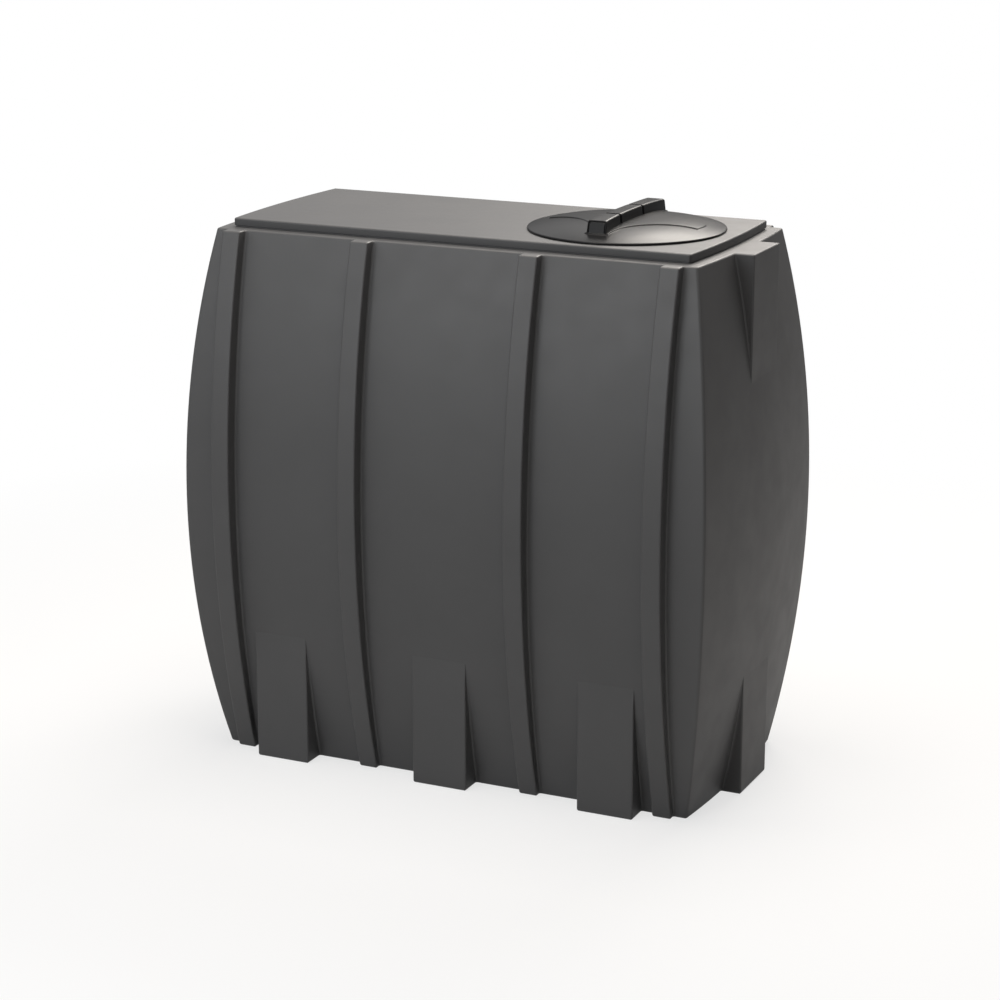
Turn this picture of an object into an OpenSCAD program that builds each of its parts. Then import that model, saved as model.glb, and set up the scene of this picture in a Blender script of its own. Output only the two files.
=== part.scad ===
// Slimline rainwater tank, moulded in one plastic, with a round lid on its raised deck.
// X runs along the length, Y from front to rear, Z up. The base stands on Z = 0.

/* [Tank body] */
// Height of the body, from the floor to the flat shoulder
body_h = 1274; // [900:1:1600]
// Length between the corner edges of the two ends, at the base and at the shoulder
end_l = 1197; // [1000:1:1500]
// How far each end swells outward at half height
end_bulge = 59; // [30:1:80]
// Depth from the front panels to the rear panels, at the base and at the shoulder
side_w = 556; // [500:1:700]
// How far the front and the rear swell outward at half height
side_bulge = 80; // [60:1:100]
// Radius of the bow that each end shows in plan
end_plan_r = 2800; // [2000:10:4000]
// Thickness of the moulded wall
wall_t = 7; // [4:0.5:10]

/* [Deck] */
// Width of the shoulder ledge in front of and behind the deck
ledge_side = 30.5; // [20:0.5:45]
// Width of the shoulder ledge at the two ends of the deck
ledge_end = 28.5; // [20:0.5:60]
// Height of the deck above the shoulder
deck_rise = 21; // [15:1:40]

/* [Ribs] */
// Width of each upright rib
rib_w = 46; // [30:1:60]
// Distance from the corner edge of the base to the middle of the outer ribs
rib_corner = 54.5; // [30:0.5:65]
// Distance between the two inner ribs
middle_bay = 420; // [300:1:460]
// How far a rib stands out of its panel at the base
rib_base = 18; // [12:1:30]
// How far a rib stands out of its panel at half height
rib_middle = 32; // [20:1:40]
// How far a rib stands out of its panel at the shoulder
rib_top = 28; // [15:1:36]

/* [Feet and pad] */
// Width of each foot under the front and rear panels
foot_w = 138; // [90:1:180]
// Gap between an outer foot and the outer rib beside it
foot_gap = 32; // [15:1:60]
// How far the flat face of a foot stands out from the edge of the base
foot_step = 60; // [40:1:70]
// Width of the foot on each end, and of the pad above the right one
end_foot_w = 170; // [100:1:240]
// How far the flat faces on the ends stand out from the corners of the base
end_foot_step = 60.5; // [40:0.5:70]

/* [Manhole and lid] */
// Gap between the edge of the lid and the front edge of the deck
lid_side_gap = 19.5; // [10:0.5:30]
// Gap between the edge of the lid and the corners of the deck's end
lid_end_gap = 22; // [15:1:60]
// How far the lid laps over the deck around the manhole
lid_lap = 28; // [20:1:40]
// Thickness of the neck around the manhole
neck_t = 8; // [5:0.5:10]
// Depth of the neck below the top of the deck
neck_h = 60; // [40:1:100]
// Thickness of the lid
lid_t = 5; // [4:0.5:8]
// Height of the lid's dome above its rim
lid_crown = 20; // [10:1:30]
// Gap between the skirt of the lid and the neck
skirt_gap = 6; // [5:0.5:10]
// Depth of the skirt below the top of the deck
skirt_h = 30; // [15:1:38]

/* [Star and handle] */
// Gap between the points of the raised star and the edge of the lid
star_gap = 44; // [30:1:60]
// Width of each point of the star at its end
star_point_w = 56; // [50:1:70]
// Radius of the four hollow sides of the star
star_side_r = 152; // [120:1:180]
// Height of the star above the dome
star_t = 2.5; // [1:0.5:4]
// Width of the bar handle, which runs from point to point of the star
handle_w = 46; // [30:1:50]
// Height of the middle of the handle above the rim of the lid
handle_h = 44; // [38:1:60]
// How far the top of the handle drops from its middle to its ends
handle_drop = 5; // [2:0.5:8]
// Width of the two grooves around the handle
groove_w = 5; // [3:0.5:8]
// Depth of the two grooves around the handle
groove_d = 5; // [3:0.5:8]
// Distance from the middle of the handle to its front groove
groove_front = 92; // [60:1:110]
// Distance from the middle of the handle to its rear groove
groove_rear = 45; // [30:1:110]

/* [Hidden] */
// Number of sides used to draw the long arcs and the small rounds
arc_fn = 360;
round_fn = 120;
mid_h = body_h / 2;
deck_l = end_l - 2 * ledge_end;
deck_w = side_w - 2 * ledge_side;
deck_z = body_h + deck_rise;
// Anything that only has to reach past the tank
past = 1000;
// Centres of the ribs and of the feet, from left to right
rib_outer_x = end_l / 2 - rib_corner;
rib_x = [-rib_outer_x, -middle_bay / 2, middle_bay / 2, rib_outer_x];
foot_x = rib_outer_x - rib_w / 2 - foot_gap - foot_w / 2;
foot_xs = [-foot_x, 0, foot_x];
// Flat faces of the feet and the pad
foot_y = side_w / 2 + foot_step;
end_foot_x = end_l / 2 + end_foot_step;
// Radius of the arc that swells the front and the rear
side_r = mid_h * mid_h / (2 * side_bulge) + side_bulge / 2;
side_c = side_r - side_bulge - side_w / 2;
// Each end is a slice of a disc: its axis, its radius at the shoulder and at half height
disc_x = end_l / 2 - sqrt(pow(end_plan_r, 2) - pow(side_w / 2, 2));
disc_mid_r = norm([end_l / 2 + end_bulge - disc_x, side_w / 2 + side_bulge]);
disc_swell = disc_mid_r - end_plan_r;
disc_arc_r = mid_h * mid_h / (2 * disc_swell) + disc_swell / 2;
// The front face of a rib is an arc through its base, middle and top
rib_y0 = side_w / 2 + rib_base;
rib_y1 = side_w / 2 + side_bulge + rib_middle;
rib_y2 = side_w / 2 + rib_top;
rib_centre = circle_centre([rib_y0, 0], [rib_y1, mid_h], [rib_y2, body_h]);
rib_r = norm(rib_centre - [rib_y1, mid_h]);
// The feet taper upward and the pad downward to a thin edge, cut off at this thickness
edge_t = 1;
foot_top = mid_h - sqrt(pow(side_r, 2) - pow(side_c + foot_y - edge_t, 2));
end_edge_r = norm([end_foot_x - edge_t - disc_x, end_foot_w / 2]);
end_foot_top = mid_h - sqrt(pow(disc_arc_r, 2) - pow(end_edge_r - disc_mid_r + disc_arc_r, 2));
lid_d = deck_w - 2 * lid_side_gap;
lid_rim_z = deck_z + lid_t;
manhole_x = deck_l / 2 - lid_end_gap - lid_d / 2;
manhole_d = lid_d - 2 * lid_lap;
neck_r = manhole_d / 2 + neck_t;
skirt_r = manhole_d / 2 - skirt_gap;
// Radius of the ball whose cap is the crown of the lid
crown_r = pow(lid_d / 2, 2) / (2 * lid_crown) + lid_crown / 2;
star_r = lid_d / 2 - star_gap;
star_side_c = star_point_w / 2 + star_side_r;
// The top of the handle is an arc from one end to the other
handle_arc_r = star_r * star_r / (2 * handle_drop) + handle_drop / 2;
handle_z = lid_rim_z + handle_h;

tank_colour = [0.27, 0.27, 0.28];
lid_colour = [0.2, 0.2, 0.21];

// Centre of the circle through three points of the plane
function circle_centre(a, b, c) =
    let (p = b - a, q = c - a)
    let (d = 2 * (p.x * q.y - p.y * q.x))
    let (pp = p * p, qq = q * q)
    a + [(q.y * pp - p.y * qq) / d, (p.x * qq - q.x * pp) / d];

// Lays an outline drawn as depth and height across the tank, over a stretch of its length
module across(x, w) {
    translate([x - w / 2, 0, 0])
        rotate([90, 0, 90])
            linear_extrude(w)
                children();
}

// Outline of the tank seen from its end, drawn in by the given distance
module side_outline(inset = 0) {
    intersection() {
        translate([side_c, mid_h])
            circle(r = side_r - inset, $fn = arc_fn);
        translate([-side_c, mid_h])
            circle(r = side_r - inset, $fn = arc_fn);
        translate([-past, 0])
            square([2 * past, body_h]);
    }
}

// Heights between the floor panel and the shoulder panel
module between_outline() {
    translate([-past, wall_t])
        square([2 * past, body_h - 2 * wall_t]);
}

// Solid disc whose rim is the bowed and swollen right end
module end_disc(inset = 0) {
    translate([disc_x, 0, 0])
        rotate([0, 0, 180])
            rotate_extrude($fn = arc_fn)
                intersection() {
                    translate([disc_mid_r - disc_arc_r, mid_h])
                        circle(r = disc_arc_r - inset, $fn = arc_fn);
                    square([disc_mid_r + 1, body_h]);
                }
}

// Everything between the two swollen ends
module between_ends(inset = 0) {
    intersection() {
        end_disc(inset);
        mirror([1, 0, 0])
            end_disc(inset);
    }
}

// One flat slice of the whole body outline
module body_slice(z) {
    intersection() {
        across(0, 2 * past)
            intersection() {
                side_outline();
                translate([-past, z])
                    square([2 * past, wall_t]);
            }
        between_ends();
    }
}

module floor_panel() {
    color(tank_colour)
        body_slice(0);
}

module shoulder() {
    color(tank_colour)
        difference() {
            body_slice(body_h - wall_t);
            translate([0, 0, body_h - 2 * wall_t])
                linear_extrude(3 * wall_t)
                    deck_outline(wall_t);
        }
}

// Plan of the raised deck, drawn in by the given distance
module deck_outline(inset = 0) {
    bow_x = deck_l / 2 - sqrt(pow(end_plan_r, 2) - pow(deck_w / 2, 2));
    intersection() {
        translate([bow_x, 0])
            circle(r = end_plan_r - inset, $fn = arc_fn);
        translate([-bow_x, 0])
            circle(r = end_plan_r - inset, $fn = arc_fn);
        translate([-past, inset - deck_w / 2])
            square([2 * past, deck_w - 2 * inset]);
    }
}

module deck() {
    color(tank_colour)
        difference() {
            translate([0, 0, body_h])
                linear_extrude(deck_rise)
                    deck_outline();
            translate([0, 0, body_h - 1])
                linear_extrude(deck_rise - wall_t + 1)
                    deck_outline(wall_t);
            translate([manhole_x, 0, body_h])
                cylinder(h = 2 * deck_rise, r = neck_r, $fn = round_fn);
        }
}

module manhole_neck() {
    color(tank_colour)
        translate([manhole_x, 0, deck_z - neck_h])
            difference() {
                cylinder(h = neck_h, r = neck_r, $fn = round_fn);
                translate([0, 0, -1])
                    cylinder(h = neck_h + 2, d = manhole_d, $fn = round_fn);
            }
}

// Hollow behind a foot of the front, open to the inside of the tank
module foot_hollow(x) {
    across(x, foot_w - 2 * wall_t)
        translate([-foot_y + wall_t, wall_t])
            square([foot_y / 2, mid_h - wall_t]);
}

// Front panel between two ribs, counted from the left
module front_panel(k) {
    x0 = k == 1 ? -past : rib_x[k - 2] + rib_w / 2;
    x1 = k == 5 ? past : rib_x[k - 1] - rib_w / 2;
    color(tank_colour)
        difference() {
            intersection() {
                across((x0 + x1) / 2, x1 - x0)
                    intersection() {
                        difference() {
                            side_outline();
                            side_outline(wall_t);
                        }
                        between_outline();
                        translate([-past, 0])
                            square([past, body_h]);
                    }
                between_ends();
            }
            if (k > 1 && k < 5)
                foot_hollow(foot_xs[k - 2]);
        }
}

// Upright rib of the front, a channel that is open to the inside of the tank
module front_rib(k) {
    color(tank_colour)
        difference() {
            across(rib_x[k - 1], rib_w)
                difference() {
                    rib_outline();
                    side_outline(wall_t);
                    difference() {
                        side_outline();
                        between_outline();
                    }
                }
            across(rib_x[k - 1], rib_w - 2 * wall_t)
                intersection() {
                    rib_outline(wall_t);
                    between_outline();
                }
        }
}

// Region behind the face of a front rib, drawn in by the given distance
module rib_outline(inset = 0) {
    intersection() {
        translate([-rib_centre.x, rib_centre.y])
            circle(r = rib_r - inset, $fn = arc_fn);
        translate([-past, 0])
            square([past, body_h]);
    }
}

// Wedge-shaped foot under a front panel
module front_foot(k) {
    color(tank_colour)
        difference() {
            across(foot_xs[k - 1], foot_w)
                difference() {
                    translate([-foot_y, 0])
                        square([foot_y / 2, foot_top]);
                    side_outline();
                }
            foot_hollow(foot_xs[k - 1]);
        }
}

// Block with its flat face on the right end, from one height to another
module end_block(z0, z1, inset = 0) {
    w = end_foot_w - 2 * inset;
    translate([end_foot_x / 2, -w / 2, z0])
        cube([end_foot_x / 2 - inset, w, z1 - z0]);
}

module end_foot_hollow() {
    end_block(wall_t, mid_h, wall_t);
}

module end_pad_hollow() {
    end_block(mid_h, body_h - wall_t, wall_t);
}

// Right end wall, or as drawn before it is mirrored for the left, which has no pad
module right_end(with_pad = true) {
    color(tank_colour)
        difference() {
            intersection() {
                across(past / 2, past)
                    intersection() {
                        side_outline(wall_t);
                        between_outline();
                    }
                difference() {
                    end_disc();
                    end_disc(wall_t);
                }
            }
            end_foot_hollow();
            if (with_pad)
                end_pad_hollow();
        }
}

module right_foot() {
    color(tank_colour)
        difference() {
            end_block(0, end_foot_top);
            end_disc();
            end_foot_hollow();
        }
}

module right_pad() {
    color(tank_colour)
        difference() {
            end_block(body_h - end_foot_top, body_h);
            end_disc();
            end_pad_hollow();
        }
}

// Solid under the dome of the lid, raised or lowered by the given distance
module lid_body(lift = 0) {
    translate([manhole_x, 0, 0])
        rotate_extrude($fn = round_fn)
            intersection() {
                translate([0, lid_rim_z + lid_crown - crown_r])
                    circle(r = crown_r + lift, $fn = arc_fn);
                translate([0, deck_z])
                    square([lid_d / 2, lid_t + lid_crown + star_t + 1]);
            }
}

// Plan of the raised star: a disc with four round bites
module star_outline() {
    difference() {
        circle(r = star_r, $fn = arc_fn);
        for (sx = [-1, 1], sy = [-1, 1])
            translate([sx * star_side_c, sy * star_side_c])
                circle(r = star_side_r, $fn = arc_fn);
    }
}

// Lid from the underside of its rim to the top of its star
module lid_outside() {
    lid_body();
    intersection() {
        lid_body(star_t);
        translate([manhole_x, 0, deck_z])
            linear_extrude(past)
                star_outline();
    }
}

module lid() {
    inner_r = skirt_r - lid_t;
    color(lid_colour)
        difference() {
            union() {
                lid_outside();
                translate([manhole_x, 0, deck_z - skirt_h])
                    cylinder(h = skirt_h + lid_t, r = skirt_r, $fn = round_fn);
            }
            translate([manhole_x, 0, deck_z - skirt_h - 1])
                cylinder(h = skirt_h + 1, r = inner_r, $fn = round_fn);
            intersection() {
                lid_body(-lid_t);
                translate([manhole_x, 0, deck_z - 1])
                    cylinder(h = lid_t + lid_crown, r = inner_r, $fn = round_fn);
            }
        }
}

// Bar over the middle of the lid, drawn in by the given distance on its sides and top
module handle_bar(inset = 0) {
    translate([manhole_x, 0, 0])
        across(0, handle_w - 2 * inset)
            intersection() {
                translate([0, handle_z - handle_arc_r])
                    circle(r = handle_arc_r - inset, $fn = arc_fn);
                translate([-star_r, deck_z])
                    square([2 * star_r, lid_t + handle_h]);
            }
}

module lid_handle() {
    color(lid_colour)
        difference() {
            handle_bar();
            lid_outside();
            difference() {
                for (y = [-groove_front, groove_rear])
                    translate([manhole_x - handle_w, y - groove_w / 2, deck_z])
                        cube([2 * handle_w, groove_w, 2 * handle_h]);
                handle_bar(groove_d);
            }
        }
}

floor_panel();  // floor
shoulder();
deck();
manhole_neck();
mirror([1, 0, 0]) right_end(with_pad = false);  // left_end
right_end();
for (k = [1:5]) {
    front_panel(k);
    mirror([0, 1, 0]) front_panel(k);
}
for (k = [1:4]) {
    front_rib(k);
    mirror([0, 1, 0]) front_rib(k);
}
for (k = [1:3]) {
    front_foot(k);
    mirror([0, 1, 0]) front_foot(k);
}
mirror([1, 0, 0]) right_foot();  // left_foot
right_foot();
right_pad();
lid();
lid_handle();
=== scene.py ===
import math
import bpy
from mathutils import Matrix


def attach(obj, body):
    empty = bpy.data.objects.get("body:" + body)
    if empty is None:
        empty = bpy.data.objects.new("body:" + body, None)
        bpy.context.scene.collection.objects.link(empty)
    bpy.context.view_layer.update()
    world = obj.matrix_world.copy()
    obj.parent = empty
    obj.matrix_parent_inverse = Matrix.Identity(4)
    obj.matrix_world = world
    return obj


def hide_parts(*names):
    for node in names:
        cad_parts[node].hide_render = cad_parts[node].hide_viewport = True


bl_info = {
    "name": "Slimline rainwater tank",
    "version": (1, 0, 0),
    "blender": (4, 5, 0),
    "location": "3D View > Sidebar > Rainwater Tank",
    "description": "Finishes a moulded rainwater tank and its lid, and sets a plain studio around them",
    "category": "Object",
}

import bmesh
import bpy
from bpy.props import FloatProperty, FloatVectorProperty, PointerProperty
from mathutils import Vector

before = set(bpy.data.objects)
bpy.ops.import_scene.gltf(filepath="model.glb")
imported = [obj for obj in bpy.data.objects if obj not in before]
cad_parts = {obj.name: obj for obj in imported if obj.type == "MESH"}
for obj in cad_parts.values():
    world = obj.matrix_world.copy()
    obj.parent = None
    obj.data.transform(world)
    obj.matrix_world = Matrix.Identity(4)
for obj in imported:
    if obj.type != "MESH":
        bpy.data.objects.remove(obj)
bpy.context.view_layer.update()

MM = 0.001

# Sizes of the moulding in millimetres, as in the part's source
BODY_H = 1274
END_L = 1197
END_BULGE = 59
SIDE_W = 556
SIDE_BULGE = 80
END_PLAN_R = 2800
WALL_T = 7
DECK_L = 1140
DECK_W = 495
DECK_Z = 1295
RIB_W = 46
RIB_X = (210, 544)
RIB_DEPTHS = (18, 32, 28)
FOOT_W = 138
FOOT_X = 420
FOOT_Y = 338
END_FOOT_W = 170
END_FOOT_X = 659
MANHOLE_X = 320
MANHOLE_R = 200
NECK_R = 208
NECK_H = 60
LID_R = 228
LID_T = 5
LID_CROWN = 20
SKIRT_R = 194
SKIRT_H = 30
STAR_R = 184
STAR_POINT_W = 56
STAR_SIDE_R = 152
STAR_T = 2.5
HANDLE_W = 46
HANDLE_H = 44
HANDLE_DROP = 4
GROOVE_W = 9
GROOVE_D = 5
GROOVES = (-87, 47)
DOME_POWER = 3.2
HANDLE_EDGE_R = 5
HANDLE_WAIST = 4
HANDLE_LEAN = 13

# Soft edges that the mould gives, which the plain solids leave out
EDGE_R = 4.0
HOLLOW_R = 5.0
CORNER_R = 7.0
BASE_R = 6.0
UNDERCUT = 3.5
ROUND_STEPS = 4

MID_H = BODY_H / 2
SIDE_R = MID_H**2 / (2 * SIDE_BULGE) + SIDE_BULGE / 2
SIDE_C = SIDE_R - SIDE_BULGE - SIDE_W / 2
DISC_X = END_L / 2 - math.sqrt(END_PLAN_R**2 - (SIDE_W / 2) ** 2)
DISC_MID_R = math.hypot(END_L / 2 + END_BULGE - DISC_X, SIDE_W / 2 + SIDE_BULGE)
DISC_SWELL = DISC_MID_R - END_PLAN_R
DISC_ARC_R = MID_H**2 / (2 * DISC_SWELL) + DISC_SWELL / 2
FOOT_TOP = MID_H - math.sqrt(SIDE_R**2 - (SIDE_C + FOOT_Y) ** 2)
END_EDGE_R = math.hypot(END_FOOT_X - DISC_X, END_FOOT_W / 2)
END_FOOT_TOP = MID_H - math.sqrt(DISC_ARC_R**2 - (END_EDGE_R - DISC_MID_R + DISC_ARC_R) ** 2)

# The camera that took the photograph, in the tank's own frame
CAMERA_PLACE = (2.5604, -5.4949, 2.3050)
CAMERA_PITCH = 15.58
CAMERA_YAW = 24.98
CAMERA_LENS = 94.4

FLOOR_RADIUS = 14
# How much of the floor is replaced by plain white where it is seen close by, and how bright that is in reflections
FLOOR_WHITE = 0.7
FLOOR_MIRRORED = 0.5
WALL_GREY = 0.15
WARM = (1.0, 0.94, 0.87)
COOL = (0.955, 0.98, 1.0)
# Soft boxes: name, azimuth and elevation in degrees, distance and size in metres, power in watts, colour
LAMPS = (
    ("front_lamp", -15, 20, 4.5, 2.5, 62, COOL),
    ("left_lamp", -60, 25, 4.5, 2.5, 18, COOL),
    ("back_lamp", 180, 45, 4.0, 1.6, 76, WARM),
    ("back_right_lamp", 165, 45, 4.0, 1.6, 42, WARM),
    ("top_lamp", 0, 88, 4.5, 3.0, 200, WARM),
)


def linear(text):
    """Turns an sRGB hex colour into the linear values that shaders take."""
    parts = [int(text[i : i + 2], 16) / 255 for i in (1, 3, 5)]
    return tuple(p / 12.92 if p <= 0.04045 else ((p + 0.055) / 1.055) ** 2.4 for p in parts)


def node(tree, kind, links=(), **settings):
    """Adds a shader node, sets its properties and plain inputs, and links (socket, output) pairs to it."""
    made = tree.nodes.new(kind)
    for key, value in settings.items():
        if hasattr(made, key):
            setattr(made, key, value)
        else:
            made.inputs[key.replace("_", " ")].default_value = value
    for socket, output in links:
        tree.links.new(output, made.inputs[socket])
    return made


def new_material(name):
    """An empty node material with its Principled shader."""
    material = bpy.data.materials.new(name)
    material.use_nodes = True
    shader = material.node_tree.nodes["Principled BSDF"]
    return material, material.node_tree, shader


def mottle(tree, size, detail=2.0):
    """Soft noise between 0 and 1 in the tank's own frame, its patches about size millimetres across."""
    place = node(tree, "ShaderNodeTexCoord")
    return node(tree, "ShaderNodeTexNoise", [("Vector", place.outputs["Object"])], Scale=1000 / size, Detail=detail).outputs["Fac"]


def spread(tree, value, low, high):
    """Stretches the middle of a noise over the values from low to high."""
    return node(tree, "ShaderNodeMapRange", [("Value", value)], From_Min=0.3, From_Max=0.7, To_Min=low, To_Max=high).outputs["Result"]


def shaded(tree, colour, amount):
    """A colour, linear, made darker or paler by a factor."""
    tint = node(tree, "ShaderNodeVectorMath", operation="SCALE")
    tint.inputs[0].default_value = tuple(colour)
    tree.links.new(amount, tint.inputs["Scale"])
    return tint.outputs[0]


def relief(tree, shader, layers):
    """Adds bumps, each a noise size and a depth in millimetres, one over the other."""
    below = None
    for size, depth in layers:
        bump = node(tree, "ShaderNodeBump", [("Height", mottle(tree, size, 1.0))], Distance=depth * MM)
        if below:
            tree.links.new(below.outputs[0], bump.inputs["Normal"])
        below = bump
    tree.links.new(below.outputs[0], shader.inputs["Normal"])


def moulded_polyethylene(colour, roughness):
    """Rotomoulded polyethylene, cast against a blasted steel mould: satin, with a faint orange peel and slow waves."""
    material, tree, shader = new_material("rotomoulded_polyethylene")
    cloudy = spread(tree, mottle(tree, 180, 3.0), 0.965, 1.035)
    tree.links.new(shaded(tree, colour, cloudy), shader.inputs["Base Color"])
    tree.links.new(spread(tree, mottle(tree, 70), roughness - 0.035, roughness + 0.035), shader.inputs["Roughness"])
    shader.inputs["IOR"].default_value = 1.51
    relief(tree, shader, ((6, 0.035), (90, 0.25)))
    return material


def gloss_polypropylene(colour, roughness):
    """Injection-moulded polypropylene: smoother and glossier than the tank, dulled here and there by handling."""
    material, tree, shader = new_material("injection_moulded_polypropylene")
    cloudy = spread(tree, mottle(tree, 120, 0.0), 0.95, 1.05)
    tree.links.new(shaded(tree, colour, cloudy), shader.inputs["Base Color"])
    tree.links.new(spread(tree, mottle(tree, 110, 0.0), roughness - 0.015, roughness + 0.015), shader.inputs["Roughness"])
    shader.inputs["IOR"].default_value = 1.49
    shader.inputs["Specular IOR Level"].default_value = 0.15
    return material


def seen_or(tree, fade):
    """How much of a ray meets plain white: the fade where the camera sees it, FLOOR_WHITE in reflections, else none."""
    path = node(tree, "ShaderNodeLightPath")
    seen = node(tree, "ShaderNodeMath", [(0, path.outputs["Is Camera Ray"]), (1, path.outputs["Is Transmission Ray"])], operation="MAXIMUM")
    seen = node(tree, "ShaderNodeMath", [(0, seen.outputs[0]), (1, fade)], operation="MULTIPLY")
    mirrored = node(tree, "ShaderNodeMath", [(0, path.outputs["Is Glossy Ray"])], operation="MULTIPLY")
    mirrored.inputs[1].default_value = FLOOR_WHITE
    return node(tree, "ShaderNodeMath", [(0, seen.outputs[0]), (1, mirrored.outputs[0])], operation="MAXIMUM").outputs[0]


def add_floor(scene):
    """A pale round floor that holds the tank's shadow and fades to plain white."""
    mesh = bpy.data.meshes.new("studio_floor")
    form = bmesh.new()
    bmesh.ops.create_circle(form, cap_ends=True, segments=96, radius=FLOOR_RADIUS)
    form.to_mesh(mesh)
    form.free()
    floor = bpy.data.objects.new("studio_floor", mesh)
    scene.collection.objects.link(floor)
    material, tree, shader = new_material("pale_studio_floor")
    shader.inputs["Base Color"].default_value = (0.88, 0.88, 0.88, 1)
    shader.inputs["Roughness"].default_value = 0.95
    shader.inputs["Specular IOR Level"].default_value = 0
    glow = node(tree, "ShaderNodeEmission")
    ray = node(tree, "ShaderNodeLightPath")
    bright = node(tree, "ShaderNodeMapRange", [("Value", ray.outputs["Is Glossy Ray"])], To_Min=1.0, To_Max=FLOOR_MIRRORED)
    tree.links.new(bright.outputs["Result"], glow.inputs["Strength"])
    place = node(tree, "ShaderNodeTexCoord")
    away = node(tree, "ShaderNodeVectorMath", [(0, place.outputs["Object"])], operation="LENGTH")
    fade = node(tree, "ShaderNodeMapRange", [("Value", away.outputs["Value"])], From_Min=1.0, From_Max=3.0, To_Min=FLOOR_WHITE, To_Max=1.0)
    blend = node(tree, "ShaderNodeMixShader", [(0, seen_or(tree, fade.outputs["Result"])), (1, shader.outputs[0]), (2, glow.outputs[0])])
    tree.links.new(blend.outputs[0], tree.nodes["Material Output"].inputs["Surface"])
    mesh.materials.append(material)


def white_world():
    """White behind the tank. In reflections it is white overhead, with a greyer band of wall around the horizon."""
    world = bpy.data.worlds.new("studio")
    world.use_nodes = True
    tree = world.node_tree
    sky = tree.nodes["Background"]
    sky.inputs["Color"].default_value = (1, 1, 1, 1)
    path = node(tree, "ShaderNodeLightPath")
    seen = node(tree, "ShaderNodeMath", [(0, path.outputs["Is Camera Ray"]), (1, path.outputs["Is Transmission Ray"])], operation="MAXIMUM")
    way = node(tree, "ShaderNodeSeparateXYZ", [("Vector", node(tree, "ShaderNodeTexCoord").outputs["Generated"])])
    rise = node(tree, "ShaderNodeMapRange", [("Value", way.outputs["Z"])], From_Min=0.17, From_Max=0.36, To_Min=WALL_GREY, To_Max=1.0)
    glossy = node(tree, "ShaderNodeMath", [(0, path.outputs["Is Glossy Ray"]), (1, rise.outputs["Result"])], operation="MULTIPLY")
    strength = node(tree, "ShaderNodeMath", [(0, seen.outputs[0]), (1, glossy.outputs[0])], operation="MAXIMUM")
    tree.links.new(strength.outputs[0], sky.inputs["Strength"])
    return world


def add_lamp(scene, name, azimuth, elevation, distance, size, power, colour=(1, 1, 1)):
    """A square soft box that faces the middle of the tank. Azimuth 0 is the front, 90 the right end."""
    lamp = bpy.data.lights.new(name, "AREA")
    lamp.size = size
    lamp.energy = power
    lamp.color = colour
    turn, rise = math.radians(azimuth), math.radians(elevation)
    out = Vector((math.sin(turn) * math.cos(rise), -math.cos(turn) * math.cos(rise), math.sin(rise)))
    box = bpy.data.objects.new(name, lamp)
    box.location = Vector((0, 0, 0.65)) + out * distance
    box.rotation_euler = out.to_track_quat("Z", "Y").to_euler()
    box.visible_camera = False
    scene.collection.objects.link(box)
    return box


def circle_through(a, b, c):
    """Centre and radius of the circle through three points of a plane."""
    p, q = (b[0] - a[0], b[1] - a[1]), (c[0] - a[0], c[1] - a[1])
    d = 2 * (p[0] * q[1] - p[1] * q[0])
    pp, qq = p[0] ** 2 + p[1] ** 2, q[0] ** 2 + q[1] ** 2
    x, y = (q[1] * pp - p[1] * qq) / d, (p[0] * qq - q[0] * pp) / d
    return (a[0] + x, a[1] + y), math.hypot(x, y)


RIB_C, RIB_R = circle_through(
    (SIDE_W / 2 + RIB_DEPTHS[0], 0), (SIDE_W / 2 + SIDE_BULGE + RIB_DEPTHS[1], MID_H), (SIDE_W / 2 + RIB_DEPTHS[2], BODY_H)
)


def side_depth(z):
    """Distance from the middle plane to the panels at a height."""
    return math.sqrt(SIDE_R**2 - (z - MID_H) ** 2) - SIDE_C


def rib_depth(z):
    """Distance from the middle plane to the faces of the ribs at a height."""
    return RIB_C[0] + math.sqrt(RIB_R**2 - (z - RIB_C[1]) ** 2)


def end_reach(z, y, inset):
    """Distance along X to the bowed end at a height and a depth."""
    r = DISC_MID_R - DISC_ARC_R + math.sqrt(DISC_ARC_R**2 - (z - MID_H) ** 2) - inset
    return DISC_X + math.sqrt(r**2 - y**2)


def rounded(a, b, c, r):
    """The arc that rounds the corner b between a and c, as ROUND_STEPS + 1 points."""
    a, b, c = Vector(a), Vector(b), Vector(c)
    u, v = a - b, c - b
    if u.length < 1e-4 or v.length < 1e-4:
        return [b] * (ROUND_STEPS + 1)
    turn = math.pi - u.angle(v)
    if turn < 0.01:
        return [b] * (ROUND_STEPS + 1)
    reach = min(r * math.tan(turn / 2), u.length * 0.49, v.length * 0.49)
    r = reach / math.tan(turn / 2)
    middle = (u.normalized() + v.normalized()).normalized()
    centre = b + middle * (r / math.cos(turn / 2))
    first, last = b + u.normalized() * reach - centre, b + v.normalized() * reach - centre
    arc = []
    for k in range(ROUND_STEPS + 1):
        t = k / ROUND_STEPS
        arc.append(centre + (first * math.sin(turn * (1 - t)) + last * math.sin(turn * t)) / math.sin(turn))
    return arc


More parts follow.
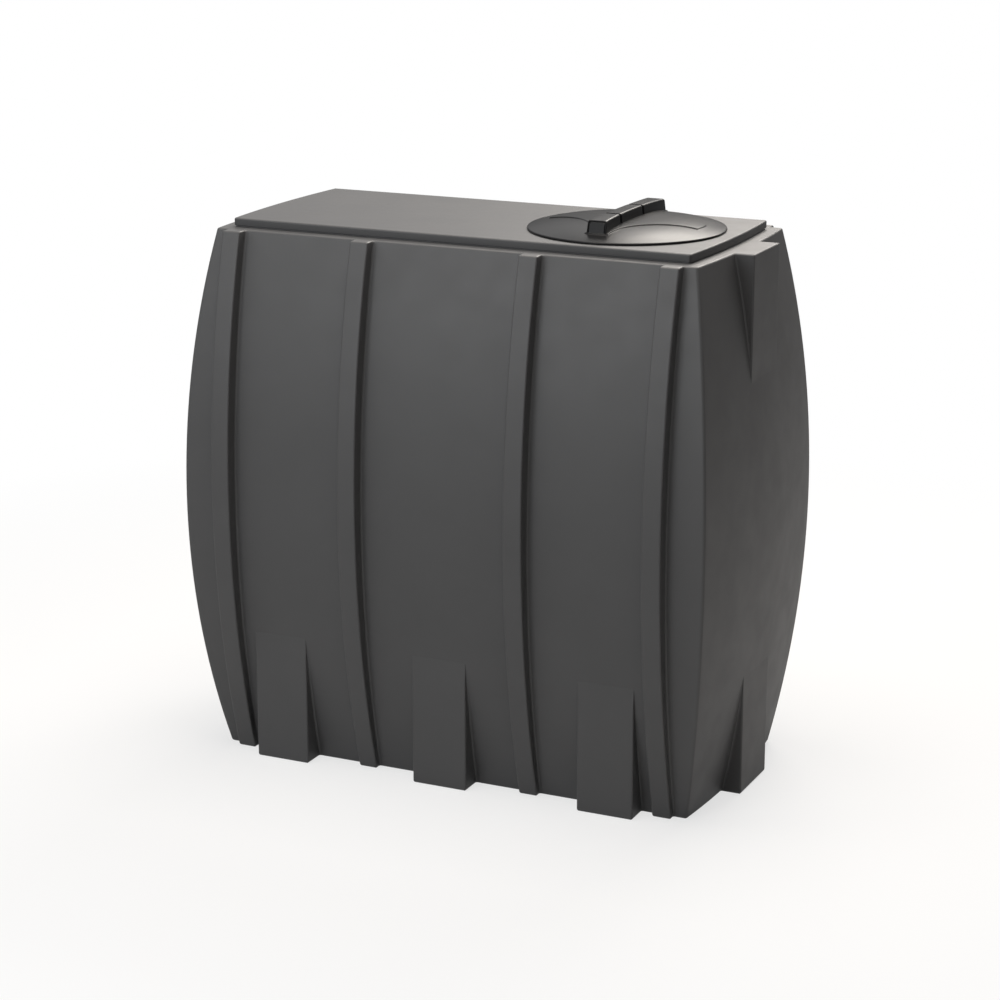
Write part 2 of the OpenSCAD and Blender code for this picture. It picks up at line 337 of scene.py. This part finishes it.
def quarter(z, inset=0.0, plain=False, pad=True):
    """One quarter of the outline at a height, from the middle of the front to the middle of the right end.

    Gives points (x, depth) and, for each, the piece that follows it. plain leaves out ribs, feet and pad."""
    side = side_depth(z) - inset
    rib = side if plain else max(side, rib_depth(z) - inset)
    foot = side if plain or z > MID_H else max(side, FOOT_Y - inset)
    flat_end = plain or (z > MID_H and not pad)
    outer, inner = max(EDGE_R - inset, 0.3), HOLLOW_R + inset * 0.3
    rw, fw, ew = RIB_W / 2 - inset, FOOT_W / 2 - inset, END_FOOT_W / 2 - inset

    def reach(y):
        there = end_reach(z, y, inset)
        return there if flat_end or y > ew + 0.001 else max(there, END_FOOT_X - inset)

    # Each corner: x, depth, radius, piece after it, points added along the way to the next corner
    path = [(0, foot, 0, "foot_2", 3), (fw, foot, outer, "foot_2", 1), (fw, side, inner, "panel_3", 6)]
    for x, name, after, steps in ((RIB_X[0], "rib_3", "panel_4", 2), (FOOT_X, "foot_3", "panel_4", 1), (RIB_X[1], "rib_4", "panel_5", 3)):
        w, out = (fw, foot) if name == "foot_3" else (rw, rib)
        face = 6 if name == "foot_3" else 2
        path += [(x - w, side, inner, name, 1), (x - w, out, outer, name, face), (x + w, out, outer, name, 1), (x + w, side, inner, after, steps)]
    path.append((end_reach(z, side, inset), side, max(CORNER_R - inset, 0.3), "end", 0))
    for k in range(1, 14):
        y = side + (ew - side) * k / 14
        path.append((end_reach(z, y, inset), y, 0, "end", 0))
    path += [(end_reach(z, ew, inset), ew, inner, "end_foot", 1), (reach(ew), ew, outer, "end_foot", 0)]
    for k in range(1, 7):
        y = ew * (1 - k / 6)
        path.append((reach(y), y, 0, "end_foot", 0))
    points, names = [], []
    groups = []
    for k, (x, y, r, name, steps) in enumerate(path):
        if r:
            groups.append(rounded(path[k - 1][:2], (x, y), path[k + 1][:2], r))
        else:
            groups.append([Vector((x, y))])
    for k, group in enumerate(groups):
        name, steps = path[k][3], path[k][4]
        points += group
        names += [name] * len(group)
        for j in range(1, steps + 1):
            points.append(group[-1].lerp(groups[k + 1][0], j / (steps + 1)))
            names.append(name)
    return points, names


def all_round(right, left, z):
    """Mirrors a right and a left quarter into the whole loop, and names the piece that follows each point."""
    names = right[1]
    count = len(names)
    numbers = {"panel_3": "panel_3", "panel_4": "panel_2", "panel_5": "panel_1", "rib_3": "rib_2", "rib_4": "rib_1", "foot_2": "foot_2", "foot_3": "foot_1"}

    def full(name, sx, sy):
        if name.startswith("end"):
            return ("right" if sx > 0 else "left") + name[3:] if name != "end" else ("right_end" if sx > 0 else "left_end")
        return ("front_" if sy < 0 else "rear_") + (name if sx > 0 else numbers[name])

    loop, pieces = [], []
    for sx, sy, back in ((1, -1, False), (1, 1, True), (-1, 1, False), (-1, -1, True)):
        order = range(count - 1, -1, -1) if back else range(count)
        order = list(order)[:-1]
        for k in order:
            x, y = (right if sx > 0 else left)[0][k]
            loop.append((sx * x, sy * y, z))
            pieces.append(full(names[k - 1 if back else k], sx, sy))
    return loop, pieces


def deck_quarter(inset):
    """Points of the deck's outline that answer to those of the plain outline at the shoulder."""
    points, names = quarter(BODY_H, EDGE_R, plain=True)
    bow_x = DECK_L / 2 - math.sqrt(END_PLAN_R**2 - (DECK_W / 2) ** 2)
    side = DECK_W / 2 - inset

    def reach(y):
        return bow_x + math.sqrt((END_PLAN_R - inset) ** 2 - y**2)

    first = next(k for k, name in enumerate(names) if name == "end")
    arc = rounded((0, side), (reach(side), side), (reach(side - 50), side - 50), max(5 - inset, 0.3))
    out = []
    for k, (x, y) in enumerate(points):
        if k < first:
            out.append(Vector((x * arc[0].x / points[first].x, side)))
        elif k <= first + ROUND_STEPS:
            out.append(arc[k - first])
        else:
            depth = y * arc[-1].y / points[first + ROUND_STEPS].y
            out.append(Vector((reach(depth), depth)))
    return out, names


def skin_loops():
    """The loops of points that the moulding is drawn through, outside and then inside, with the piece of each stretch."""
    loops = []

    def add(z, inset=0.0, plain=False, piece=None, z_piece=None):
        loop, pieces = all_round(quarter(z, inset, plain), quarter(z, inset, plain, pad=False), z)
        loops.append((loop, [piece] * len(pieces) if piece else [at_height(p, z if z_piece is None else z_piece) for p in pieces]))

    def add_deck(z, inset, piece):
        loop, pieces = all_round(deck_quarter(inset), deck_quarter(inset), z)
        loops.append((loop, [piece] * len(pieces)))

    def add_ring(z, r, piece):
        loop, pieces = all_round(deck_quarter(0), deck_quarter(0), z)
        ring = []
        for x, y, _ in loop:
            turn = math.atan2(y, x - MANHOLE_X)
            ring.append((MANHOLE_X + r * math.cos(turn), r * math.sin(turn), z))
        loops.append((ring, [piece] * len(pieces)))

    def at_height(piece, z):
        if "foot" not in piece:
            return piece
        if piece.startswith(("left", "right")):
            side = piece.split("_")[0]
            if z < END_FOOT_TOP:
                return side + "_foot"
            return "right_pad" if side == "right" and z >= BODY_H - END_FOOT_TOP else side + "_end"
        row, number = piece.split("_foot_")
        return piece if z < FOOT_TOP else f"{row}_panel_{int(number) + 1}"

    levels = sorted({round(BASE_R + (BODY_H - EDGE_R - BASE_R) * k / 36, 2) for k in range(1, 36)} | {t + s for t in (FOOT_TOP, END_FOOT_TOP, BODY_H - END_FOOT_TOP) for s in (-2, 0, 2)})
    add(0, BASE_R, plain=True)
    for k in range(ROUND_STEPS + 1):
        turn = math.pi / 2 * k / ROUND_STEPS
        add(BASE_R * (1 - math.cos(turn)), BASE_R * (1 - math.sin(turn)))
    for z in levels:
        add(z)
    for k in range(ROUND_STEPS + 1):
        turn = math.pi / 2 * k / ROUND_STEPS
        add(BODY_H - EDGE_R * (1 - math.sin(turn)), EDGE_R * (1 - math.cos(turn)), z_piece=BODY_H)
    add(BODY_H, EDGE_R, plain=True, piece="shoulder")
    # A fine undercut runs round the foot of the deck
    for rise, inset in ((0, 0), (0, UNDERCUT), (UNDERCUT, UNDERCUT), (UNDERCUT, 0.6), (UNDERCUT + 0.6, 0)):
        add_deck(BODY_H + rise, inset, "deck")
    for k in range(ROUND_STEPS + 1):
        turn = math.pi / 2 * k / ROUND_STEPS
        add_deck(DECK_Z - EDGE_R * (1 - math.sin(turn)), EDGE_R * (1 - math.cos(turn)), "deck")
    add_ring(DECK_Z, NECK_R, "manhole_neck")
    for k in range(ROUND_STEPS + 1):
        turn = math.pi / 2 * k / ROUND_STEPS
        add_ring(DECK_Z - 3 * (1 - math.cos(turn)), MANHOLE_R + 3 * (1 - math.sin(turn)), "manhole_neck")
    add_ring(DECK_Z - NECK_H, MANHOLE_R, "manhole_neck")
    add_ring(DECK_Z - NECK_H, NECK_R, "manhole_neck")
    add_ring(DECK_Z - WALL_T, NECK_R, "deck")
    add_deck(DECK_Z - WALL_T, WALL_T, "deck")
    add_deck(BODY_H - WALL_T, WALL_T, "shoulder")
    add(BODY_H - WALL_T, WALL_T, plain=True, z_piece=BODY_H)
    inner = [WALL_T + (BODY_H - 2 * WALL_T) * k / 16 for k in range(1, 16)]
    add(BODY_H - WALL_T, WALL_T, z_piece=BODY_H - WALL_T - 1)
    for z in reversed(inner):
        add(z, WALL_T, z_piece=z - 1)
    add(WALL_T, WALL_T)
    add(WALL_T, WALL_T, plain=True)
    return loops


def build_skin(material):
    """Draws the whole moulding through its loops, as one surface, and parts it into its named pieces."""
    form = bmesh.new()
    tag = form.faces.layers.int.new("piece")
    order = []
    rows = []
    loops = skin_loops()
    for loop, _ in loops:
        rows.append([form.verts.new(Vector(p) * MM) for p in loop])
    count = len(rows[0])
    for lower, upper, (_, pieces) in zip(rows, rows[1:], loops):
        for k in range(count):
            m = (k + 1) % count
            face = form.faces.new((lower[k], lower[m], upper[m], upper[k]))
            if pieces[k] not in order:
                order.append(pieces[k])
            face[tag] = order.index(pieces[k])
    order.append("floor")
    for row, flip in ((rows[0], True), (rows[-1], False)):
        face = form.faces.new(reversed(row) if flip else row)
        face[tag] = order.index("floor")
    bmesh.ops.remove_doubles(form, verts=form.verts, dist=1e-6)
    bmesh.ops.dissolve_degenerate(form, edges=form.edges, dist=1e-7)
    form.verts.index_update()
    lean = leaning(form)
    made = {}
    for index, name in enumerate(order):
        faces = [f for f in form.faces if f[tag] == index]
        places, corners, normals, seen = [], [], [], {}
        for f in faces:
            row = []
            for v in f.verts:
                if v.index not in seen:
                    seen[v.index] = len(places)
                    places.append(v.co.copy())
                    normals.append(lean[v.index])
                row.append(seen[v.index])
            corners.append(row)
        mesh = bpy.data.meshes.new(name + "_skin")
        mesh.from_pydata(places, [], corners)
        mesh.shade_smooth()
        mesh.normals_split_custom_set_from_vertices(normals)
        mesh.materials.append(material)
        piece = bpy.data.objects.new(name + "_skin", mesh)
        bpy.context.scene.collection.objects.link(piece)
        made[name] = piece
    form.free()
    return made


def soft_object(name, places, faces, material):
    """A smooth mesh whose large faces outweigh small ones, so flats stay flat and only the rounds turn."""
    form = bmesh.new()
    verts = [form.verts.new(Vector(p) * MM) for p in places]
    for face in faces:
        form.faces.new([verts[k] for k in face])
    bmesh.ops.remove_doubles(form, verts=form.verts, dist=1e-6)
    bmesh.ops.dissolve_degenerate(form, edges=form.edges, dist=1e-7)
    bmesh.ops.recalc_face_normals(form, faces=form.faces)
    form.verts.index_update()
    mesh = bpy.data.meshes.new(name)
    normals = leaning(form)
    form.to_mesh(mesh)
    form.free()
    mesh.shade_smooth()
    mesh.normals_split_custom_set_from_vertices(normals)
    mesh.materials.append(material)
    made = bpy.data.objects.new(name, mesh)
    bpy.context.scene.collection.objects.link(made)
    return made


def leaning(form):
    """The direction each point faces, weighed by the area of the faces around it."""
    lean = [Vector((0, 0, 0)) for _ in form.verts]
    for face in form.faces:
        push = face.normal * face.calc_area()
        for v in face.verts:
            lean[v.index] += push
    return [n.normalized() for n in lean]


def lofted(rings):
    """Points and faces of a surface drawn through closed rings of equal length, capped at both ends."""
    count = len(rings[0])
    places = [p for ring in rings for p in ring]
    faces = []
    for j in range(len(rings) - 1):
        for k in range(count):
            m = (k + 1) % count
            faces.append((j * count + k, j * count + m, (j + 1) * count + m, (j + 1) * count + k))
    faces.append(tuple(reversed(range(count))))
    faces.append(tuple(range((len(rings) - 1) * count, len(rings) * count)))
    return places, faces


def star_outline(spacing=3.0):
    """Points of the raised star around the middle of the lid, evenly spaced, with the way each faces out."""
    offset = STAR_POINT_W / 2 + STAR_SIDE_R
    far = offset * math.sqrt(2)
    fine = []
    for k in range(7200):
        turn = math.radians(k / 20)
        bend = (turn % (math.pi / 2)) - math.pi / 4
        reach = STAR_R
        if abs(far * math.sin(bend)) < STAR_SIDE_R:
            reach = min(STAR_R, far * math.cos(bend) - math.sqrt(STAR_SIDE_R**2 - (far * math.sin(bend)) ** 2))
        fine.append(Vector((reach * math.cos(turn), reach * math.sin(turn))))
    picked, gone = [fine[0]], 0.0
    for a, b in zip(fine, fine[1:]):
        step = (b - a).length
        if gone + step > spacing:
            picked += [a.lerp(b, j / max(1, round(step / spacing))) for j in range(1, max(1, round(step / spacing)) + 1)]
            gone = 0.0
        else:
            gone += step
    count = len(picked)
    ways = []
    for k in range(count):
        along = (picked[(k + 1) % count] - picked[k - 1]).normalized()
        ways.append(Vector((along.y, -along.x)))
    return picked, ways


def dome(r):
    """Height of the lid's dome at a distance from its middle: flatter there than a ball, and steeper at the rim."""
    return DECK_Z + LID_T + LID_CROWN * (1 - (min(r, LID_R) / LID_R) ** DOME_POWER)


def build_lid(material):
    """The lid: a shallow dome with a raised star, a rounded rim and a skirt that drops into the manhole."""
    outline, ways = star_outline()
    rings = []

    def lay(points, lift):
        rings.append([(MANHOLE_X + p.x, p.y, dome(p.length) + lift) for p in points])

    def drop(r, z):
        rings.append([(MANHOLE_X + r * p.x / p.length, r * p.y / p.length, z) for p in outline])

    inside = [p - w * 3 for p, w in zip(outline, ways)]
    for share in (0.02, 0.1, 0.2, 0.3, 0.4, 0.5, 0.6, 0.7, 0.8, 0.87, 0.93, 1.0):
        lay([p * share for p in inside], STAR_T)
    for step, lift in ((-1.6, 1.0), (-0.9, 0.92), (-0.4, 0.72), (0.1, 0.4), (0.6, 0.14), (1.1, 0.02), (2.0, 0.0)):
        lay([p + w * step for p, w in zip(outline, ways)], STAR_T * lift)
    outside = [p + w * 2 for p, w in zip(outline, ways)]
    rim = [p.normalized() * (LID_R - 3) for p in outline]
    for share in (0.08, 0.18, 0.3, 0.42, 0.54, 0.66, 0.78, 0.9, 1.0):
        lay([a.lerp(b, share) for a, b in zip(outside, rim)], 0)
    edge_z = dome(LID_R - 3)
    for turn in (22.5, 45, 67.5, 90):
        t = math.radians(turn)
        drop(LID_R - 3 + 3 * math.sin(t), edge_z - 3 * (1 - math.cos(t)))
    drop(LID_R, DECK_Z + 1)
    drop(LID_R - 0.8, DECK_Z + 0.2)
    drop(SKIRT_R + 2, DECK_Z + 0.2)
    drop(SKIRT_R, DECK_Z - 1.8)
    drop(SKIRT_R, DECK_Z - SKIRT_H + 1.5)
    drop(SKIRT_R - 1.5, DECK_Z - SKIRT_H)
    drop(SKIRT_R - LID_T + 1, DECK_Z - SKIRT_H)
    drop(SKIRT_R - LID_T, DECK_Z - SKIRT_H + 1)
    for r in (SKIRT_R - LID_T, 150, 100, 50, 4):
        drop(r, dome(r) - LID_T)
    places, faces = lofted(rings)
    return soft_object("tank_lid", places, faces, material)


def build_handle(material):
    """The bar handle in its three lengths, with the two grooves around it and a set-in face at each end."""
    arc = STAR_R**2 / (2 * HANDLE_DROP) + HANDLE_DROP / 2
    top = DECK_Z + LID_T + HANDLE_H
    low = DECK_Z + 1
    rings = []

    def section(y, inset, y_face=None):
        """One ring across the bar, drawn in by inset, with the shape it has at y but placed at y_face."""
        z_top = top - arc + math.sqrt(arc**2 - y**2) - inset
        place = y if y_face is None else y_face
        r = HANDLE_EDGE_R
        waist = HANDLE_WAIST * (1 - (y / STAR_R) ** 2)
        half = HANDLE_W / 2 - inset
        # The foot of the bar ends inside the wall of the lid
        base = dome(math.hypot(HANDLE_W / 2, y)) - LID_T / 2
        ring = []
        for z in (base, base + 4, z_top - r):
            ring.append((waist * max(0.0, z - low - 12) / (z_top - r - low - 12) - half, z))
        ring += [(waist - half + r * (1 - math.cos(t)), z_top - r * (1 - math.sin(t))) for t in (math.radians(a) for a in (22.5, 45, 67.5, 90))]
        ring += [(x, z_top) for x in (-half * 0.5, 0, half * 0.5)]
        ring += [(-x, z) for x, z in reversed(ring[:7])]
        placed = []
        for x, z in ring:
            # Both ends lean in, more and more towards their tops
            share = max(0.0, (abs(place) - STAR_R + 34) / 34) * ((z - low) / (top - low)) ** 2
            placed.append((MANHOLE_X + x, place - math.copysign(HANDLE_LEAN * share, place), z))
        rings.append(placed)

    # From the middle of an end face outwards: how far it lies back, and how far it is drawn in
    face = ((1.0, 5.5), (1.2, 4.6), (3.0, 4.0), (3.0, 3.0), (0.4, 2.2), (0.0, 1.6), (0.3, 0.6), (1.0, 0.1), (2.5, 0.0))
    for back, inset in face:
        section(-STAR_R + 2.5, inset, -STAR_R + back)
    lengths = ((-STAR_R + 2.5, GROOVES[0]), (GROOVES[0], GROOVES[1]), (GROOVES[1], STAR_R - 2.5))
    for k, (a, b) in enumerate(lengths):
        start = a + (GROOVE_W / 2 if k else 0)
        stop = b - (GROOVE_W / 2 if k < 2 else 0)
        if k:
            for step, inset in ((0, GROOVE_D), (0, 1.2), (0.4, 0.4), (1.2, 0.0)):
                section(start + step, inset)
        for j in range(9):
            section(start + 3 + (stop - start - 6) * j / 8, 0.0)
        if k < 2:
            for step, inset in ((1.2, 0.0), (0.4, 0.4), (0, 1.2), (0, GROOVE_D)):
                section(stop - step, inset)
    for back, inset in reversed(face):
        section(STAR_R - 2.5, inset, STAR_R - back)
    return soft_object("lid_bar_handle", *lofted(rings), material)


class TankFinish(bpy.types.PropertyGroup):
    """The looks that a user may want to change"""

    tank_colour: FloatVectorProperty(
        name="Tank colour", description="Colour of the moulded tank", subtype="COLOR", min=0, max=1, default=linear("#474748")
    )
    tank_roughness: FloatProperty(name="Tank roughness", description="How dull the moulded tank is", min=0.1, max=0.9, default=0.5)
    lid_colour: FloatVectorProperty(
        name="Lid colour", description="Colour of the lid and its handle", subtype="COLOR", min=0, max=1, default=linear("#161617")
    )
    lid_roughness: FloatProperty(name="Lid roughness", description="How dull the lid is", min=0.1, max=0.9, default=0.31)
    lamp_share: FloatProperty(name="Lamp strength", description="Share of the lamps' usual power", min=0, max=4, default=1.0)


class OBJECT_OT_tank_body(bpy.types.Operator):
    """Finish the moulded body of the tank"""

    bl_idname = "rainwater_tank.body"
    bl_label = "Tank body"

    def execute(self, context):
        finish = context.scene.tank_finish
        made = build_skin(moulded_polyethylene(finish.tank_colour, finish.tank_roughness))
        for name, piece in made.items():
            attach(piece, "tank")
            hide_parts(name)
        return {"FINISHED"}


class OBJECT_OT_tank_lid(bpy.types.Operator):
    """Finish the lid and its handle"""

    bl_idname = "rainwater_tank.lid"
    bl_label = "Lid and handle"

    def execute(self, context):
        finish = context.scene.tank_finish
        material = gloss_polypropylene(finish.lid_colour, finish.lid_roughness)
        for name, piece in (("lid", build_lid(material)), ("lid_handle", build_handle(material))):
            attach(piece, "lid")
            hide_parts(name)
        return {"FINISHED"}


class OBJECT_OT_tank_stage(bpy.types.Operator):
    """Set the floor, the lamps, the background and the camera"""

    bl_idname = "rainwater_tank.stage"
    bl_label = "Studio"

    def execute(self, context):
        scene = context.scene
        scene.view_settings.view_transform = "Standard"
        add_floor(scene)
        scene.world = white_world()
        for lamp in LAMPS:
            add_lamp(scene, *lamp).data.energy *= scene.tank_finish.lamp_share
        camera = bpy.data.objects.new("camera", bpy.data.cameras.new("camera"))
        camera.data.lens = CAMERA_LENS
        camera.location = CAMERA_PLACE
        camera.rotation_euler = (math.radians(90 - CAMERA_PITCH), 0, math.radians(CAMERA_YAW))
        scene.collection.objects.link(camera)
        scene.camera = camera
        return {"FINISHED"}


class VIEW3D_PT_tank(bpy.types.Panel):
    """Shows the tank's finish settings and the buttons that build the tank, its lid and the studio"""

    bl_label = "Rainwater tank"
    bl_idname = "VIEW3D_PT_rainwater_tank"
    bl_space_type = "VIEW_3D"
    bl_region_type = "UI"
    bl_category = "Rainwater Tank"

    def draw(self, context):
        for name in TankFinish.__annotations__:
            self.layout.prop(context.scene.tank_finish, name)
        for operator in OPERATORS:
            self.layout.operator(operator.bl_idname)


OPERATORS = (OBJECT_OT_tank_body, OBJECT_OT_tank_lid, OBJECT_OT_tank_stage)
CLASSES = (TankFinish, *OPERATORS, VIEW3D_PT_tank)


def register():
    for each in CLASSES:
        bpy.utils.register_class(each)
    bpy.types.Scene.tank_finish = PointerProperty(type=TankFinish)


def unregister():
    del bpy.types.Scene.tank_finish
    for each in reversed(CLASSES):
        bpy.utils.unregister_class(each)


def main():
    register()
    bpy.ops.rainwater_tank.body()
    bpy.ops.rainwater_tank.lid()
    bpy.ops.rainwater_tank.stage()


if __name__ == "__main__":
    main()
